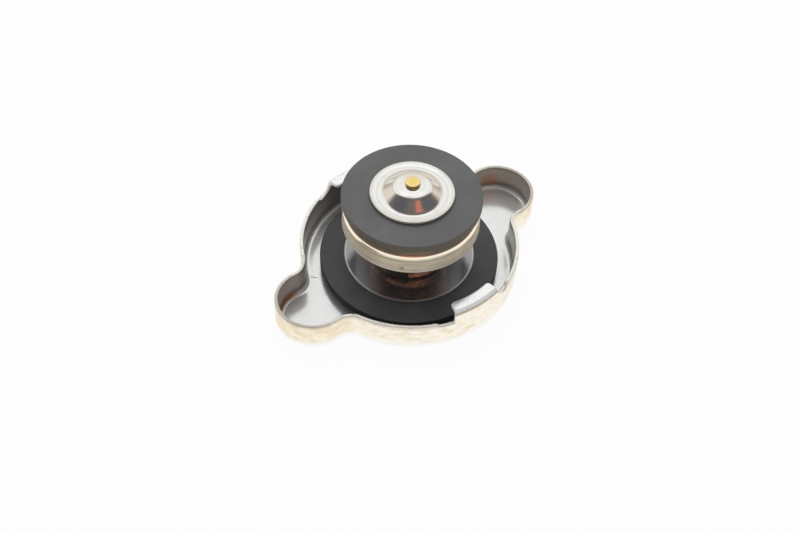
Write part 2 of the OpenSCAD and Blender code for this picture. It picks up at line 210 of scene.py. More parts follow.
# The recess is a round dish in the floor, and a bridge of faces joins it to the fold.
recess, _ = chain(shell_mesh, [
    (recess_radius + floor_strip, 0, 0), (recess_radius, 0, 0),
    (recess_radius, 0, recess_depth), (rivet_hole, 0, recess_depth)])
bmesh.ops.bevel(shell_mesh, geom=recess[1:3], affect="VERTICES", offset=recess_fold,
                segments=3, profile=0.5, material=-1)
dish = [v for v in shell_mesh.verts if not v.link_faces]
bmesh.ops.spin(shell_mesh, geom=dish + list({e for v in dish for e in v.link_edges}), cent=(0, 0, 0),
               axis=(0, 0, 1), angle=2 * pi, steps=120, use_merge=True)
bmesh.ops.bridge_loops(shell_mesh, edges=open_edges(shell_mesh, 0))

# The rim stands higher between the ears and the lugs, with a notch at a lug's square end
# and a step at its run-out. At the lugs the skirt is drawn up and folded in, and it runs out
# beside them in a hollow curve.
margin = 0.0001
rim = open_edges(shell_mesh, skirt_height)
raised = [e for e in rim if all(lug_start - margin < bearing(v) < ramp_end + margin for v in e.verts)]
for vert in {v for e in rim for v in e.verts}:
    b = bearing(vert)
    into_notch = eased(b, notch_start - step_angle, notch_start)
    square_side = eased(b, ear_end, skirt_start) - into_notch
    notch = into_notch - eased(b, lug_end, ramp_end)
    ramp_side = eased(b, ramp_end, ramp_end + step_angle) - eased(b, pi - skirt_start, pi - ear_end)
    vert.co.z += square_rise * square_side - notch_drop * notch + skirt_rise * ramp_side
raised, top = drawn_on(shell_mesh, raised)
for vert in top:
    run_out = (bearing(vert) - lug_end) / ramp_angle
    vert.co.z = skirt_height + (lug_bend - skirt_height) * quarter_rise(run_out)
lug_edges = [e for e in raised if all(bearing(v) < lug_end + margin for v in e.verts)]
radius = skirt_radius
for step in range(1, fold_steps + 1):
    t = pi / 2 * step / fold_steps
    lug_edges, top = drawn_on(shell_mesh, lug_edges)
    new_radius = skirt_radius - lug_fold * (1 - cos(t))
    place_ring(shell_mesh, top, radius, new_radius, lug_bend + lug_fold * sin(t))
    radius = new_radius
lug_edges, tips = drawn_on(shell_mesh, lug_edges)
place_ring(shell_mesh, tips, radius, lug_inner_radius, lug_top)
corners = [v for v in tips if min(bearing(v) - lug_start, lug_end - bearing(v)) < margin]
bmesh.ops.bevel(shell_mesh, geom=corners, affect="VERTICES", offset=lug_corner, segments=6,
                profile=0.5, material=-1)
bmesh.ops.remove_doubles(shell_mesh, verts=shell_mesh.verts[:], dist=weld / 2)

# The tops of the folded lugs have the finish of the shell's inside.
lug_face_start = lug_bend + 0.6 * lug_fold
for face in shell_mesh.faces:
    face.material_index = int(face.calc_center_median().z > lug_face_start)
cap_shell = piece("shell_pressing", shell_mesh, shell_sheet, rim_rounding, 2)


class Signal:
    """A socket of a material's nodes, which takes part in sums as a number does."""

    def __init__(self, tree, socket=None):
        self.tree = tree
        self.socket = socket

    def node(self, kind, settings=None, inputs=None, output=0):
        """A node of that kind: its settings are set first, then its sockets get their values or links."""
        made = self.tree.nodes.new("ShaderNode" + kind)
        for name, value in (settings or {}).items():
            setattr(made, name, value)
        for name, value in (inputs or {}).items():
            if isinstance(value, Signal):
                self.tree.links.new(value.socket, made.inputs[name])
            else:
                made.inputs[name].default_value = value
        return Signal(self.tree, made.outputs[output] if made.outputs else None)

    def math(self, operation, first, second=0.0):
        return self.node("Math", {"operation": operation}, {0: first, 1: second})

    def __add__(self, other):
        return self.math("ADD", self, other)

    __radd__ = __add__

    def __sub__(self, other):
        return self.math("SUBTRACT", self, other)

    def __rsub__(self, other):
        return self.math("SUBTRACT", other, self)

    def __mul__(self, other):
        return self.math("MULTIPLY", self, other)

    __rmul__ = __mul__

    def __truediv__(self, other):
        return self.math("DIVIDE", self, other)

    def __pow__(self, other):
        return self.math("POWER", self, other)

    def between(self, low, high):
        """0 below one level and 1 above the other, with a soft step from one to the other."""
        return self.node("MapRange", {"interpolation_type": "SMOOTHSTEP"},
                         {"Value": self, "From Min": low, "From Max": high})

    def beyond(self, near, far):
        """0 within one distance of zero and 1 beyond the other, alike on both sides."""
        return (self ** 2).between(near**2, far**2)

    def tint(self, first, second):
        """A colour that goes from the first to the second as this number goes from 0 to 1."""
        return self.node("Mix", {"data_type": "RGBA"}, {0: self, 6: first, 7: second}, 2)

    def ripples(self, scale, detail):
        """Noise along this one number, which draws rings where the number is a radius."""
        return self.node("TexNoise", {"noise_dimensions": "1D"},
                         {"W": self, "Scale": scale, "Detail": detail})

    def noise(self, scale, detail=3.0, rough=0.55):
        return self.node("TexNoise", None,
                         {"Vector": self, "Scale": scale, "Detail": detail, "Roughness": rough})

    def stretched(self, x, y, z):
        """These coordinates with each axis scaled, which draws a pattern out along the others."""
        return self.node("VectorMath", {"operation": "MULTIPLY"}, {0: self, 1: (x, y, z)})

    def part(self, axis):
        return self.node("SeparateXYZ", None, {0: self}, axis)

    def along(self, direction):
        """How far these coordinates reach along a direction."""
        return self.node("VectorMath", {"operation": "DOT_PRODUCT"}, {0: self, 1: direction}, "Value")

    def distance(self, point):
        """How far these coordinates are from a point."""
        return self.node("VectorMath", {"operation": "DISTANCE"}, {0: self, 1: point}, "Value")

    def ring(self, near, far):
        """0 within one radius about the axis and 1 beyond the other."""
        return (self.part(0) ** 2 + self.part(1) ** 2).between(near**2, far**2)

    def bumps(self, height, distance):
        return self.node("Bump", None, {"Height": height, "Distance": distance, "Strength": 1.0})


def finish(name, **plain):
    """A material, its shader with some plain sockets set, and the piece's own coordinates."""
    made = bpy.data.materials.new(name)
    made.use_nodes = True
    shader = made.node_tree.nodes["Principled BSDF"]
    for socket, value in plain.items():
        shader.inputs[socket.replace("_", " ")].default_value = value
    return made, shader, Signal(made.node_tree).node("TexCoord", None, None, "Object")


def feed(shader, **signals):
    """Links what changes over the surface to the shader's sockets."""
    for socket, signal in signals.items():
        shader.id_data.links.new(signal.socket, shader.inputs[socket.replace("_", " ")])


def tinned_outside():
    """Tin plating outside: cream, with tan tarnish in fine mottles that fade towards the fold below, which is
    painted near white as a painted reflection of the white floor.
    Fingers have worn the ears golden, and the bend under each lug is painted brown as a painted shade line.
    The face below is greyer."""
    # The near-white colour below is painted reflection: the white floor mirrored in the outer fold.
    bright = (1.0, 0.99, 0.96, 1)
    cream = (1.0, 0.95, 0.83, 1)
    golden = (0.92, 0.79, 0.57, 1)
    tan = (0.82, 0.65, 0.40, 1)
    brown = (0.56, 0.47, 0.36, 1)
    pale_grey = (0.74, 0.73, 0.70, 1)
    dull_grey = (0.56, 0.54, 0.50, 1)
    made, shader, place = finish("tinned_outside")
    height = place.part(2)
    sideways = place.part(0)
    above_painted_glow = height.between(1.4 * mm, 3.6 * mm)
    under = height.between(0.6 * mm, 0.3 * mm)
    # The band where the wall bends in under each lug is painted brown as painted shade.
    bend = height.between(9.7 * mm, 10.3 * mm)
    rim_line = height.between(7.0 * mm, 7.4 * mm) * sideways.beyond(6.4 * mm, 7.2 * mm)
    blotch = place.stretched(1, 1, 2.2).noise(400, 6, 0.68).between(0.44, 0.70)
    specks = place.noise(1900, 2).between(0.62, 0.74)
    ears = sideways.beyond(19 * mm, 28 * mm) * place.noise(420, 4).between(0.30, 0.62)
    tarnish = (blotch * 0.6 + specks * 0.3).tint(ears.tint(cream, golden), tan)
    face_below = place.noise(190, 5).between(0.35, 0.7).tint(pale_grey, dull_grey)
    wall = above_painted_glow.tint(under.tint(bright, face_below), tarnish)
    feed(shader, Base_Color=bend.tint(wall, brown), Metallic=1 - 0.6 * rim_line,
         Roughness=0.22 + 0.16 * place.noise(700, 4) + 0.12 * blotch,
         Normal=place.bumps(place.noise(420, 4) + 0.25 * place.noise(2600, 2), 0.12 * mm))
    return made


def tinned_inside():
    """Tin plating inside: bright and silvery on the floor and the lugs, with faint smears and scratches.
    The walls, which the die has rubbed, are duller and browner. They are painted darker at their foot, under
    the rim and on the front and back as painted shade. Low in the left ear an orange streak is painted as a
    painted reflection, and the right ear's wall has an orange patch."""
    silver = (0.92, 0.925, 0.915, 1)
    grey = (0.80, 0.80, 0.79, 1)
    scored = (0.26, 0.24, 0.22, 1)
    white = (1, 1, 1, 1)
    bluish = (0.93, 0.95, 0.97, 1)
    flecked = (0.66, 0.67, 0.68, 1)
    rubbed = (0.60, 0.54, 0.485, 1)
    painted_wall_shade = (0.23, 0.21, 0.20, 1)
    orange_tone = (0.50, 0.20, 0.06, 1)
    patch_place = (31.3 * mm, 7.0 * mm, 3.3 * mm)
    scratch_along = (0.592, -0.806, 0)
    scratch_across = (0.806, 0.592, 0)
    scratch_aside = 11.27 * mm
    made, shader, place = finish("tinned_inside")
    height = place.part(2)
    lug = height.between(9.2 * mm, 9.8 * mm)
    lug_face = height.between(11.14 * mm, 11.19 * mm)
    wall = height.between(1.3 * mm, 2.4 * mm) * (1 - lug)
    outer = place.ring(22 * mm, 24 * mm) * height.between(1.7 * mm, 1.3 * mm)
    fold = outer * height.between(0.94 * mm, 1.02 * mm)

    smear = place.noise(160, 5, 0.6).between(0.45, 0.75)
    hairs = place.stretched(0.12, 1, 1).noise(2400, 2).between(0.66, 0.72)
    along = place.along(scratch_along)
    across = place.along(scratch_across) + scratch_aside
    scratch = along.between(-21.2 * mm, -20.8 * mm) * along.between(-19.3 * mm, -19.7 * mm)
    scratch = scratch * across.beyond(0.16 * mm, 0.08 * mm)
    floor_colour = scratch.tint((smear * 0.6 + hairs * 0.2).tint(silver, grey), scored)

    flecks = place.noise(1500, 4).between(0.56, 0.72)
    lug_colour = flecks.tint(smear.tint(white, bluish), flecked)
    # The walls are painted darker at their foot, under the rim and on the front and back: painted shade.
    unshaded_wall = height.between(2.0 * mm, 4.2 * mm) * height.between(8.3 * mm, 6.9 * mm)
    unshaded_wall = unshaded_wall * (1 - 0.85 * place.part(1).beyond(15 * mm, 21 * mm))
    colour = wall.tint(lug.tint(floor_colour, lug_colour), unshaded_wall.tint(painted_wall_shade, rubbed))
    # Low on the left ear's wall an orange streak is painted as a painted reflection. The patch on the right
    # ear's wall is painted orange too.
    painted_orange_glint = height.between(1.0 * mm, 1.4 * mm) * height.between(3.0 * mm, 2.0 * mm)
    painted_orange_glint = painted_orange_glint * place.part(0).between(-26 * mm, -29 * mm)
    patch = wall * place.distance(patch_place).between(3.6 * mm, 1.2 * mm)
    feed(shader, Base_Color=(painted_orange_glint + 0.45 * patch).tint(colour, orange_tone),
         Metallic=0.78 - 0.33 * wall - 0.6 * lug + 0.6 * lug_face - 0.10 * outer - 0.32 * fold,
         Roughness=0.18 + 0.08 * smear + 0.04 * hairs + 0.16 * wall + 0.18 * lug - 0.18 * lug_face,
         Normal=place.bumps(place.noise(140, 2) + 0.02 * place.noise(1500, 2), 0.02 * mm))
    return made


def trimmed_edge():
    """Cut edge of the sheet: bright metal smeared by the trimming die, with short dull nicks.
    It is duller towards the ends of the ears."""
    bright = (1.0, 0.98, 0.94, 1)
    dull = (0.62, 0.58, 0.51, 1)
    nicked = (0.50, 0.45, 0.38, 1)
    made, shader, place = finish("trimmed_edge", Metallic=0.32)
    nicks = place.noise(900, 3).between(0.55, 0.75)
    ears = place.part(0).beyond(25 * mm, 33 * mm)
    feed(shader, Base_Color=nicks.tint(ears.tint(bright, dull), nicked),
         Roughness=0.38 + 0.15 * nicks,
         Normal=place.bumps(place.noise(1200, 2), 0.05 * mm))
    return made


for paint in (tinned_outside(), tinned_inside(), trimmed_edge()):
    cap_shell.data.materials.append(paint)
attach(cap_shell, "shell")
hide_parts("cap_shell")


# Rivet, spring disc and guide post.
# The rivet's head sits in the recess outside, and its shank holds the whole valve so that it can turn.
# The spring disc backs the gasket, and the post is a drawn cup with a flared mouth. All are plain steel.
def plain_steel():
    """Bare drawn steel: grey, with rings left by the tool and a dull oily film."""
    clean = (0.60, 0.58, 0.55, 1)
    oily = (0.42, 0.39, 0.36, 1)
    made, shader, place = finish("plain_steel", Metallic=1.0)
    film = place.noise(350, 4).between(0.4, 0.7)
    rings = place.stretched(0.2, 0.2, 1).noise(5000, 1)
    feed(shader, Base_Color=film.tint(clean, oily),
         Roughness=0.26 + 0.16 * film + 0.08 * rings,
         Normal=place.bumps(rings + 0.5 * place.noise(900, 3), 0.04 * mm))
    return made


def dress(node_name, material):
    """Gives a CAD piece that keeps its own shape a better finish."""
    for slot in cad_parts[node_name].material_slots:
        slot.material = material


steel = plain_steel()
for node_name in ("centre_rivet", "spring_disc", "guide_post"):
    dress(node_name, steel)


# Main gasket.
# A flat ring cut from black rubber sheet, held between the spring disc and the clamp plate.
# It closes on the filler neck's rim, and its cut edges are only just rounded.
gasket_rounding = 0.2 * mm
gasket_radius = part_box("main_gasket")[1].x
gasket_black = (0.064, 0.065, 0.069, 1)
gasket_bloom = (0.103, 0.105, 0.111, 1)
# The gasket's cut side is painted near black: painted shade.
gasket_side_shade = (0.014, 0.014, 0.014, 1)


def turned(mesh, outline, steps=160):
    """A closed outline of radius and height turned once round the axis."""
    verts, edges = chain(mesh, [(r, 0, z) for r, z in outline])
    edges.append(mesh.edges.new((verts[-1], verts[0])))
    bmesh.ops.spin(mesh, geom=verts + edges, cent=(0, 0, 0), axis=(0, 0, 1), angle=2 * pi,
                   steps=steps, use_merge=True)
    bmesh.ops.recalc_face_normals(mesh, faces=mesh.faces[:])


def round_ring(mesh, radius, height, rounding, segments=4):
    """Rounds the edge that runs round the axis at a radius and a height."""
    near = 2 * weld
    edges = [e for e in mesh.edges if all(
        abs(v.co.xy.length - radius) < near and abs(v.co.z - height) < near for v in e.verts)]
    bmesh.ops.bevel(mesh, geom=edges, affect="EDGES", offset=rounding, segments=segments,
                    profile=0.5, material=-1)


def flat_ring(node_name, hole, rounding):
    """A flat ring as large as its CAD piece, with its outer edges rounded."""
    low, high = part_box(node_name)
    mesh = bmesh.new()
    turned(mesh, [(hole, low.z), (high.x, low.z), (high.x, high.z), (hole, high.z)])
    for height in (low.z, high.z):
        round_ring(mesh, high.x, height, rounding)
    return mesh


def rubber(name, dark, bloom, cut, radius, roughness):
    """Sheet rubber: near black, with a pale bloom in faint clouds and a fine grain.
    The cut edge at its radius has a colour of its own, which on the gasket is near black as painted shade on
    its side."""
    cut_width = 0.15 * mm
    made, shader, place = finish(name, Specular_IOR_Level=0.4)
    clouds = place.noise(110, 4, 0.6).between(0.35, 0.75)
    dust = place.noise(3600, 1).between(0.68, 0.74)
    edge = place.ring(radius - cut_width, radius)
    feed(shader, Base_Color=edge.tint((clouds * 0.7 + dust * 0.3).tint(dark, bloom), cut),
         Roughness=roughness + 0.12 * clouds,
         Normal=place.bumps(place.noise(2600, 2) + 0.4 * place.noise(700, 2), 0.05 * mm))
    return made


gasket = piece("rubber_gasket", flat_ring("main_gasket", rivet_hole, gasket_rounding))
gasket.data.materials.append(rubber(
    "gasket_rubber", gasket_black, gasket_bloom, gasket_side_shade, gasket_radius, roughness=0.5))
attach(gasket, "valve_mount")
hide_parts("main_gasket")


# Clamp plate.
# A bright polished steel disc that presses the gasket flat. The rivet passes through its middle.
# Its upper edge is rounded by the blanking die and catches a thin line of light.
plate_rounding = 0.28 * mm
plate_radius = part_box("clamp_plate")[1].x
plate_light = (0.74, 0.74, 0.75, 1)
plate_smear = (0.62, 0.61, 0.62, 1)
plate_rings = (0.66, 0.65, 0.64, 1)
# The azimuth, in degrees, of the side that the photograph is taken from.
camera_azimuth = -40.5


def toward(azimuth, elevation, distance):
    """The point at a distance from the cap's axis, seen from an azimuth and an elevation in degrees."""
    a, e = radians(azimuth), radians(elevation)
    return distance * Vector((sin(a) * cos(e), -cos(a) * cos(e), sin(e)))


def polished_steel(name, light, dark, ringed, radius, roughness, film):
    """Polished stainless steel: mirror-like, with rings from polishing, a few smears and a blurred edge.
    At the sides the metal is duller, and dark strips are painted there as a painted reflection."""
    # The dark colour below is used for strips at the sides that are painted reflection.
    dull = (0.22, 0.22, 0.23, 1)
    made, shader, place = finish(name)
    aside = place.along(toward(camera_azimuth + 90, 0, 1))
    sides = aside.beyond(4 * mm, 11 * mm)
    reflected_strips = aside.beyond(11.6 * mm, 13 * mm)
    smear = place.noise(300, 4).between(0.45, 0.75)
    across = (place.part(0) ** 2 + place.part(1) ** 2) ** 0.5
    edge = across.between(radius - 0.5 * mm, radius - 0.2 * mm)
    rings = across.ripples(9000, 2)
    grooves = across.ripples(1700, 1)
    shine = (0.55 * grooves.between(0.46, 0.70)).tint(smear.tint(light, dark), ringed)
    feed(shader, Base_Color=(2 * film * reflected_strips * (1 - edge)).tint(shine, dull),
         Roughness=roughness + 0.08 * smear + 0.05 * rings + 0.3 * edge,
         Metallic=0.95 - film * sides,
         Normal=place.bumps(0.3 * rings + place.noise(500, 2), 0.02 * mm))
    return made


plate = piece("polished_clamp_plate", flat_ring("clamp_plate", rivet_hole, plate_rounding))
plate.data.materials.append(polished_steel(
    "clamp_plate_polish", plate_light, plate_smear, plate_rings, plate_radius, roughness=0.09, film=0.33))
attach(plate, "valve_mount")
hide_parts("clamp_plate")


# Pressure spring.
# A coil of round spring wire, with a closed turn at each end, between the clamp plate and the cup.
# It is wound from hard-drawn wire, which keeps drawing marks along its length and a brown heat tint. Most of
# the wire is painted dark brown as painted shade under the cup, and its lower front turns are painted light
# copper as painted light.
closed_pitch = 1.04
spring_wire_width = 1.6 * mm
spring_open_turns = 3.4
spring_steps = 64
wire_tip = radians(-130)
spring_lit_height = 7 * mm
# The copper is the wire's painted lit colour, and the dark brown its painted shade under the cup.
wire_lit_copper = (0.85, 0.46, 0.30, 1)
wire_shade_brown = (0.13, 0.08, 0.06, 1)


def wound_coil(node_name, wire, open_turns, tip, steps):
    """A coil as long as its CAD piece: a ring of wire is spun up through closed, open and closed turns."""
    low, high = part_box(node_name)
    mean = high.x - wire / 2
    mesh = bmesh.new()
    ring = Matrix.Rotation(tip, 4, "Z") @ Matrix.Translation((mean, 0, low.z + wire / 2))
    bmesh.ops.create_circle(mesh, segments=14, radius=wire / 2, cap_ends=True,
                            matrix=ring @ Matrix.Rotation(pi / 2, 4, "X"))
    closed_rise = wire * closed_pitch
    open_rise = (high.z - low.z - wire - 2 * closed_rise) / open_turns
    section = mesh.verts[:] + mesh.edges[:]
    for turns, rise in ((1, closed_rise), (open_turns, open_rise), (1, closed_rise)):
        count = round(turns * steps)
        section = bmesh.ops.spin(mesh, geom=section, cent=(0, 0, 0), axis=(0, 0, 1), angle=2 * pi * turns,
                                 dvec=(0, 0, rise * turns / count), steps=count)["geom_last"]
    bmesh.ops.holes_fill(mesh, edges=[e for e in mesh.edges if e.is_boundary])
    return mesh


def spring_wire(name, light, dark, lit_height):
    """Hard-drawn wire: brownish steel with a heat tint and small marks from coiling.
    On the front, from a little above its foot up to a height, it is painted lighter as painted light, and
    elsewhere darker as painted shade."""
    lit_foot = 5.4 * mm
    lit_front = 6.6 * mm
    made, shader, place = finish(name, Metallic=0.7)
    height = place.part(2)
    tint = place.noise(260, 3).between(0.35, 0.7)
    # This band on the front turns is painted light; the rest of the wire is painted shade.
    worn = height.between(lit_height + mm, lit_height) * height.between(lit_foot, lit_foot + 0.5 * mm)
    front = place.along(toward(camera_azimuth, 0, 1))
    worn = worn * front.between(lit_front, lit_front + 1.8 * mm)
    feed(shader, Base_Color=((1 - worn) * (0.75 + 0.25 * tint) + worn * 0.3 * tint).tint(light, dark),
         Roughness=0.2 + 0.14 * place.noise(900, 3),
         Normal=place.bumps(place.noise(1800, 3), 0.04 * mm))
    return made


coil_mesh = wound_coil("pressure_spring", spring_wire_width, spring_open_turns, wire_tip, spring_steps)
coil = piece("wound_pressure_spring", coil_mesh)
coil.data.materials.append(spring_wire("spring_wire", wire_lit_copper, wire_shade_brown, spring_lit_height))
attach(coil, "valve_mount")
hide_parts("pressure_spring")
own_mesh(coil)


# Valve cup and guide sleeve.
# The cup is a shallow pan drawn from one steel sheet, with its closed side up under the seal.
# The sleeve is a tube inside it that slides on the guide post.
cup_low, cup_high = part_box("valve_cup")
cup_sheet = 0.7 * mm
cup_rounding = 0.25 * mm
cup_draft = 0.15 * mm
cup_shoulder = 2.6 * mm
cup_hole = 3.55 * mm
cup_radius = cup_high.x
cup_mesh = bmesh.new()
cup_line, _ = chain(cup_mesh, [
    (cup_hole, 0, cup_high.z), (cup_radius - cup_draft, 0, cup_high.z), (cup_radius, 0, cup_low.z)])
bmesh.ops.bevel(cup_mesh, geom=[cup_line[1]], affect="VERTICES", offset=cup_shoulder,
                segments=12, profile=0.5, material=-1)
bmesh.ops.spin(cup_mesh, geom=cup_mesh.verts[:] + cup_mesh.edges[:], cent=(0, 0, 0), axis=(0, 0, 1),
               angle=2 * pi, steps=200, use_merge=True)
cup = piece("drawn_valve_cup", cup_mesh, cup_sheet, cup_rounding)


def satin_cup():
    """Satin plating of the cup: champagne coloured, brushed round by the drawing die.
    The shoulder, which the die has polished, is smooth and mirrors what lies round it."""
    champagne = (0.97, 0.86, 0.68, 1)
    worn = (0.60, 0.52, 0.39, 1)
    band_colour = (0.46, 0.40, 0.29, 1)
    dent_brown = (0.36, 0.24, 0.14, 1)
    rim_highlight_white = (1.0, 0.97, 0.88, 1)
    dent_place = (-11.4 * mm, -10.94 * mm, 16.78 * mm)
    made, shader, place = finish("cup_satin")
    height = place.part(2)
    wall = height.between(cup_high.z - 0.85 * cup_shoulder, cup_high.z - 1.12 * cup_shoulder)
    # A thin band just above the cup's open rim is painted near white as a painted highlight.
    lip = height.between(cup_low.z + 0.65 * mm, cup_low.z + 0.45 * mm)
    # An olive band is painted round the wall a little above the rim.
    painted_band = height.between(cup_low.z + 3.2 * mm, cup_low.z + 3.4 * mm)
    painted_band = painted_band * height.between(cup_low.z + 3.95 * mm, cup_low.z + 3.75 * mm)
    dent = place.distance(dent_place).between(0.8 * mm, 0.2 * mm)
    brush = place.stretched(0.03, 0.03, 1).noise(4200, 3)
    clouds = place.noise(190, 4).between(0.4, 0.7)
    satin = (wall * (clouds * 0.35 + brush.between(0.35, 0.7) * 0.65)).tint(champagne, worn)
    satin = (0.6 * painted_band).tint(satin, band_colour)
    satin = (0.6 * dent).tint(satin, dent_brown)
    feed(shader, Base_Color=lip.tint(satin, rim_highlight_white),
         Metallic=1 - 0.45 * wall,
         Roughness=0.10 + wall * (0.20 + 0.24 * brush),
         Normal=place.bumps(wall * (brush + 0.3 * place.noise(800, 2)), 0.04 * mm))
    return made


def cup_inside():
    """Inside of the cup: bare steel with a brown film left by the coolant, painted darker as painted shade in
    the hollow under the cup.
    """
    # Both film colours are darkened as painted shade inside the cup.
    thin_film_and_shade = (0.30, 0.25, 0.22, 1)
    thick_film_and_shade = (0.19, 0.15, 0.12, 1)
    made, shader, place = finish("cup_inside", Metallic=0.8)
    film = place.noise(420, 4).between(0.35, 0.7)
    feed(shader, Base_Color=film.tint(thin_film_and_shade, thick_film_and_shade),
         Roughness=0.34 + 0.14 * film,
         Normal=place.bumps(place.noise(1400, 3), 0.04 * mm))
    return made


cup.data.materials.append(satin_cup())
cup.data.materials.append(cup_inside())
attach(cup, "pressure_valve")
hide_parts("valve_cup")
dress("guide_sleeve", steel)


# Valve seal and eyelet.
# The seal is a thick flat ring of grey rubber, which closes on the lower seat of the filler neck.
# A flanged eyelet through its middle clinches it to the cup and the sleeve.
seal_rounding = 0.22 * mm
seal_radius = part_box("valve_seal")[1].x
seal_grey = (0.122, 0.122, 0.124, 1)
seal_bloom = (0.176, 0.176, 0.178, 1)
seal_cut = (0.125, 0.108, 0.082, 1)
seal = piece("rubber_valve_seal", flat_ring("valve_seal", cup_hole, seal_rounding))
seal.data.materials.append(rubber(
    "seal_rubber", seal_grey, seal_bloom, seal_cut, seal_radius, roughness=0.46))
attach(seal, "pressure_valve")
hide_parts("valve_seal")
dress("seal_eyelet", steel)


# Vacuum disc.
# A small stainless pressing with a crowned dome, which lies on the seal by its flange.
# The flange's edge is turned up a little, and each bend is rounded by the punch.
disc_low, disc_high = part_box("vacuum_disc")
disc_sheet = 0.5 * mm
disc_rounding = 0.15 * mm
dome_foot = 6.9 * mm
dome_top = 4.3 * mm
dome_height = 2.65 * mm
dome_bend = 0.34 * mm
foot_bend = 0.55 * mm
flange_bend = 0.5 * mm
flange_lift = 0.35 * mm
pin_hole = 1.15 * mm
flange_radius = disc_high.x
seat_radius = (dome_foot + flange_radius) / 2
dome_edge = disc_low.z + dome_height
crown = disc_high.z - dome_edge
crown_steps = 8
crown_radii = [pin_hole + (dome_top - pin_hole) * i / crown_steps for i in range(crown_steps + 1)]
disc_light = (0.90, 0.89, 0.87, 1)
disc_smear = (0.82, 0.82, 0.81, 1)
disc_rings = (0.74, 0.71, 0.64, 1)
disc_mesh = bmesh.new()
disc_line, _ = chain(disc_mesh, [
    *[(r, 0, dome_edge + crown * (dome_top**2 - r**2) / (dome_top**2 - pin_hole**2)) for r in crown_radii],
    (dome_foot, 0, disc_low.z + disc_sheet), (seat_radius, 0, disc_low.z + disc_sheet),
    (flange_radius, 0, disc_low.z + disc_sheet + flange_lift)])
for corner, bend, segments in zip(disc_line[-4:-1], (dome_bend, foot_bend, flange_bend), (5, 5, 3)):
    bmesh.ops.bevel(disc_mesh, geom=[corner], affect="VERTICES", offset=bend,
                    segments=segments, profile=0.5, material=-1)
bmesh.ops.spin(disc_mesh, geom=disc_mesh.verts[:] + disc_mesh.edges[:], cent=(0, 0, 0), axis=(0, 0, 1),
               angle=2 * pi, steps=160, use_merge=True)
disc = piece("vacuum_disc_pressing", disc_mesh, disc_sheet, disc_rounding)
disc.data.materials.append(polished_steel(
    "vacuum_disc_polish", disc_light, disc_smear, disc_rings, flange_radius, roughness=0.08, film=0))
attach(disc, "vacuum_valve")
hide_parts("vacuum_disc")


# Vacuum pin, with its spring and washer.
# A brass rivet through the dome, whose head shows on top and whose tail carries the washer.
# The light spring between the eyelet and the washer pulls the disc down on the seal.
pin_low, pin_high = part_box("vacuum_pin")
pin_radius = 1.1 * mm
head_radius = 1.8 * mm
head_under = disc_high.z
head_rounding = 0.3 * mm
tail_top = pin_low.z + 0.6 * mm
tail_radius = 1.7 * mm
tail_rounding = 0.12 * mm
pin_mesh = bmesh.new()
pin_line, _ = chain(pin_mesh, [
    (0, 0, pin_high.z), (head_radius, 0, pin_high.z), (head_radius, 0, head_under),
    (pin_radius, 0, head_under), (pin_radius, 0, tail_top), (tail_radius, 0, tail_top),
    (tail_radius, 0, pin_low.z), (0, 0, pin_low.z)])
bmesh.ops.bevel(pin_mesh, geom=[pin_line[1]], affect="VERTICES", offset=head_rounding,
                segments=4, profile=0.5, material=-1)
bmesh.ops.bevel(pin_mesh, geom=[pin_line[2], *pin_line[5:7]], affect="VERTICES", offset=tail_rounding,
                segments=3, profile=0.5, material=-1)
bmesh.ops.spin(pin_mesh, geom=pin_mesh.verts[:] + pin_mesh.edges[:], cent=(0, 0, 0), axis=(0, 0, 1),
               angle=2 * pi, steps=64, use_merge=True)
bmesh.ops.remove_doubles(pin_mesh, verts=pin_mesh.verts[:], dist=weld / 5)
pin = piece("brass_vacuum_pin", pin_mesh)


def brass():
    """Turned brass: golden, with hammer marks on the head, which is deeper in colour at its middle."""
    golden = (1.0, 0.84, 0.38, 1)
    amber = (0.96, 0.64, 0.12, 1)
    made, shader, place = finish("pin_brass", Metallic=1.0)
    marks = place.noise(1500, 3)
    tarnish = place.noise(700, 3).between(0.5, 0.75)
    middle = place.ring(1.6 * mm, 0.3 * mm)
    feed(shader, Base_Color=(tarnish * 0.5 + middle * 0.5).tint(golden, amber),
         Roughness=0.24 + 0.18 * marks,
         Normal=place.bumps(marks, 0.09 * mm))
    return made


pin.data.materials.append(brass())
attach(pin, "vacuum_valve")
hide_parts("vacuum_pin")

light_wire_width = 0.5 * mm
light_open_turns = 3
light_steps = 40
light_lit_height = 30 * mm
light_grey = (0.62, 0.60, 0.57, 1)
light_brown = (0.48, 0.44, 0.40, 1)
light_mesh = wound_coil("vacuum_spring", light_wire_width, light_open_turns, 0, light_steps)
light_coil = piece("wound_vacuum_spring", light_mesh)
light_coil.data.materials.append(spring_wire(
    "light_spring_wire", light_grey, light_brown, light_lit_height))
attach(light_coil, "pressure_valve")
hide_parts("vacuum_spring")
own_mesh(light_coil)
dress("spring_washer", steel)


# Studio: floor, reflected room and lamp.
# A white floor that fades into white, under a soft overhead light.
# The bright metal mirrors a dark room on the camera's side and white walls on the other.
floor_half = 4
floor_matt = (0.9, 0.9, 0.9, 1)
pure_white = (1, 1, 1, 1)
shadow_share = 0.05
ambient = 0.55


def bare_material(name):
    """A material without nodes yet, and a start for its nodes."""
    made = bpy.data.materials.new(name)
    made.use_nodes = True
    made.node_tree.nodes.clear()
    return made, Signal(made.node_tree)


def backdrop_share(start):
    """1 on rays from the camera and on mirrored ones, which see the plain white background."""
    seen = [start.node("LightPath", None, None, ray) for ray in (
        "Is Camera Ray", "Is Glossy Ray", "Is Transmission Ray")]
    return start.math("MINIMUM", seen[0] + seen[1] + seen[2], 1.0)


def glow_in(start, colour):
    """A plain glow in a colour."""
    return start.node("Emission", None, {"Color": colour, "Strength": 1.0})


